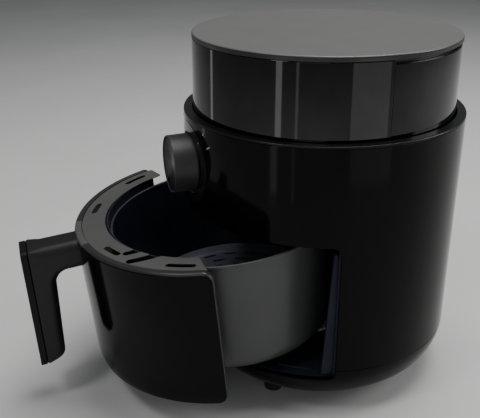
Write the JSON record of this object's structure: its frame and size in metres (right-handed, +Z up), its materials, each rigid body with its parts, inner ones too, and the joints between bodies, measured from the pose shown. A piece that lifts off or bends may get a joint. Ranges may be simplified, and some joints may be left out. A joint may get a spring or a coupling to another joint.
{
  "type": "basket air fryer",
  "caption": "Round countertop air fryer with a pull-out frying drawer on a hook handle, a rotary timer knob and a glossy band under a flat lid.",
  "frame": {"origin": "on the table, under the middle of the object's footprint with the drawer pulled out as it rests", "axes": "+Z up, -Y out of the front where the drawer opens, +X to the right seen from the front of the drawer"},
  "size_m": [0.25, 0.4027, 0.3192],
  "materials": {
    "gloss_black": "high gloss",
    "smoked_gloss": "mirror gloss, smoked",
    "gloss_dark": "semi gloss",
    "lid_matte": "fine matte texture",
    "rim_matte": "matte, mid grey",
    "handle_matte": "matte, dark grey",
    "handle_satin": "satin, dark grey",
    "knob_matte": "matte",
    "knob_metal": "spun metal",
    "tub_steel": "satin grey coating",
    "non_stick": "non-stick coating",
    "cavity_plastic": "matte",
    "liner_steel": "aluminised sheet",
    "wire_steel": "bright wire",
    "element_sheath": "heat tinted",
    "motor_steel": "zinc plated",
    "shaft_steel": "ground",
    "fan_aluminium": "pressed sheet",
    "cooling_plastic": "moulded",
    "ceramic_white": "matt glaze",
    "block_white": "moulded",
    "switch_blue": "moulded",
    "nylon": "natural nylon",
    "silicone": "silicone",
    "foot_rubber": "matte rubber",
    "screw_steel": "zinc plated"
  },
  "bodies": {
    "housing": {"outer_shell": "gloss_black", "base_tub": "gloss_black", "rubber_feet": "foot_rubber", "base_screws": "screw_steel", "shoulder_ring": "gloss_black", "band_front": "smoked_gloss", "band_rear": "gloss_dark", "top_lid": "lid_matte", "chassis_plate": "liner_steel", "cavity_bezel": "cavity_plastic", "cavity_wall": "liner_steel", "heater_dome": "liner_steel", "floor_plate": "cavity_plastic", "element_guard": "wire_steel", "heating_element": "element_sheath", "element_clips": "liner_steel", "fan_motor": "motor_steel", "motor_bracket": "liner_steel", "motor_screws": "screw_steel", "thermostat": "ceramic_white", "thermal_fuse": "ceramic_white", "terminal_block": "block_white", "timer_module": "block_white", "timer_screws": "screw_steel", "dial_plate": "gloss_dark", "exhaust_duct": "liner_steel", "exhaust_grille": "cavity_plastic", "cord_gland": "cavity_plastic", "interlock_switch": "switch_blue"},
    "runners": {"runner_left": "nylon", "runner_right": "nylon"},
    "drawer": {"drawer_front": "gloss_black", "front_frame": "rim_matte", "frying_pan": "tub_steel", "pan_collar": "cavity_plastic", "drawer_rim": "rim_matte", "rim_magnet": "screw_steel", "handle_bracket": "rim_matte", "handle_grip": "handle_matte", "handle_trim": "handle_satin", "handle_screws": "screw_steel"},
    "crisper": {"crisper_plate": "non_stick", "plate_bumpers": "silicone"},
    "knob": {"knob_shell": "knob_matte", "knob_face": "knob_metal", "knob_shaft": "shaft_steel"},
    "rotor": {"motor_shaft": "shaft_steel", "hot_fan": "fan_aluminium", "cooling_fan": "cooling_plastic", "fan_nut": "shaft_steel"}
  },
  "joints": [
    {"name": "runner_tilt", "type": "hinge", "parent": "housing", "child": "runners", "pos_m": [0, -0.0482, 0.0406], "axis": [1, 0, 0], "range_deg": [-5.12, 4.19]},
    {"name": "drawer_slide", "type": "slide", "parent": "runners", "child": "drawer", "axis": [0, -0.996, -0.0889], "range_m": [-0.0935, 0.0765]},
    {"name": "plate_lift", "type": "slide", "parent": "drawer", "child": "crisper", "axis": [0, -0.0889, 0.996], "range_m": [0, 0.08]},
    {"name": "knob_turn", "type": "hinge", "parent": "housing", "child": "knob", "pos_m": [0, -0.0472, 0.2115], "axis": [0, 1, 0], "range_deg": [0, 300]},
    {"name": "fan_spin", "type": "hinge", "parent": "housing", "child": "rotor", "pos_m": [0, 0.0738, 0.2], "axis": [0, 0, 1], "continuous": true}
  ],
  "couplings": [
    {"joint": "runner_tilt", "follows": "drawer_slide", "rad_per_m": 0.952}
  ]
}
